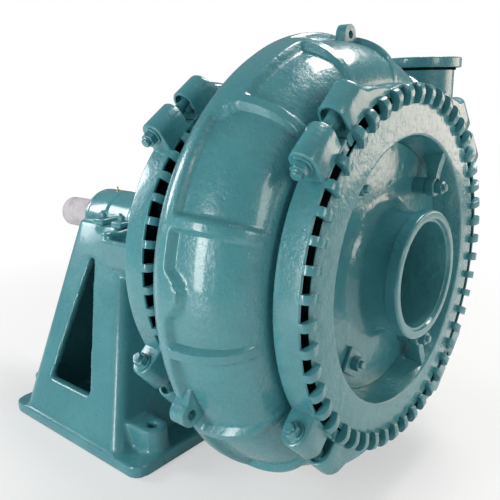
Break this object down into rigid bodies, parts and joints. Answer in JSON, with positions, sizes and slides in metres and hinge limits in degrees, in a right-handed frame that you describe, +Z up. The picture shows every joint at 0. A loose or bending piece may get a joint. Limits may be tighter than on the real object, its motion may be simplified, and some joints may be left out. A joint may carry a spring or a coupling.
{
  "type": "slurry pump",
  "caption": "Horizontal end-suction slurry pump on a one-piece pedestal, with a volute casing held by segmented clamp rings.",
  "frame": {"origin": "on the underside of the base plate, at its centre, directly below the shaft axis", "axes": "+X along the shaft axis towards the suction side, +Y towards the side that the discharge stands on, +Z up"},
  "size_m": [1.61, 1.3698, 1.3164],
  "materials": {
    "teal_enamel": "gloss enamel over rough castings",
    "dark_enamel": "gloss enamel",
    "white_iron": "hard wear-resistant iron, as cast",
    "shaft_steel": "steel with a pale preservative coat",
    "steel": "machined",
    "brass": "machined",
    "packing": "plaited packing with lubricant"
  },
  "bodies": {
    "pump_unit": {"adjusting_screw": "steel", "base_frame": "teal_enamel", "frame_plate": "dark_enamel", "front_clamp_bottom": "teal_enamel", "front_clamp_left": "teal_enamel", "front_clamp_right": "teal_enamel", "front_clamp_rod_1": "teal_enamel", "front_clamp_rod_2": "teal_enamel", "front_clamp_rod_3": "teal_enamel", "front_clamp_rod_4": "teal_enamel", "front_clamp_top": "teal_enamel", "front_cover": "teal_enamel", "gland_stud_1": "steel", "gland_stud_2": "steel", "housing_clamp_stud_1": "teal_enamel", "housing_clamp_stud_2": "teal_enamel", "housing_clamp_stud_3": "teal_enamel", "housing_clamp_stud_4": "teal_enamel", "lantern_ring": "brass", "liner_plate": "teal_enamel", "liner_spacer_1": "teal_enamel", "liner_spacer_2": "teal_enamel", "liner_stud_1": "teal_enamel", "liner_stud_2": "teal_enamel", "liner_stud_3": "teal_enamel", "liner_stud_4": "teal_enamel", "packing_ring_1": "packing", "packing_ring_2": "packing", "pump_casing": "teal_enamel", "rear_clamp_bottom": "teal_enamel", "rear_clamp_left": "teal_enamel", "rear_clamp_right": "teal_enamel", "rear_clamp_rod_1": "teal_enamel", "rear_clamp_rod_2": "teal_enamel", "rear_clamp_rod_3": "teal_enamel", "rear_clamp_rod_4": "teal_enamel", "rear_clamp_top": "teal_enamel", "rear_liner": "white_iron", "stuffing_box": "dark_enamel", "suction_liner": "teal_enamel"},
    "gland": {"gland": "white_iron", "gland_nut_1": "steel", "gland_nut_2": "steel"},
    "bearing_cartridge": {"bearing_housing": "teal_enamel", "drive_end_cover": "teal_enamel", "pump_end_cover": "teal_enamel", "drive_bearing_outer_ring": "steel", "pump_bearing_outer_ring": "steel", "adjusting_nut_front": "steel", "adjusting_nut_rear": "steel"},
    "rotor": {"shaft": "shaft_steel", "shaft_sleeve": "steel", "impeller": "white_iron", "bearing_lock_nut": "steel", "drive_labyrinth_ring": "white_iron", "pump_labyrinth_ring": "white_iron", "drive_bearing_inner_ring": "steel", "pump_bearing_inner_ring": "steel"},
    "drive_bearing_cage": {"drive_bearing_rollers": "steel"},
    "pump_bearing_cage": {"pump_bearing_rollers": "steel"}
  },
  "joints": [
    {"name": "cartridge_slide", "type": "slide", "parent": "pump_unit", "child": "bearing_cartridge", "axis": [1, 0, 0], "range_m": [-0.004, 0.004]},
    {"name": "rotor_spin", "type": "hinge", "parent": "bearing_cartridge", "child": "rotor", "pos_m": [0.696, 0, 0.672], "axis": [1, 0, 0], "continuous": true},
    {"name": "drive_cage_spin", "type": "hinge", "parent": "bearing_cartridge", "child": "drive_bearing_cage", "pos_m": [0.696, 0, 0.672], "axis": [1, 0, 0], "continuous": true},
    {"name": "pump_cage_spin", "type": "hinge", "parent": "bearing_cartridge", "child": "pump_bearing_cage", "pos_m": [0.696, 0, 0.672], "axis": [1, 0, 0], "continuous": true},
    {"name": "gland_slide", "type": "slide", "parent": "pump_unit", "child": "gland", "axis": [-1, 0, 0], "range_m": [0, 0.01]}
  ],
  "couplings": [
    {"joint": "drive_cage_spin", "follows": "rotor_spin", "ratio": 0.4586},
    {"joint": "pump_cage_spin", "follows": "rotor_spin", "ratio": 0.4586}
  ]
}
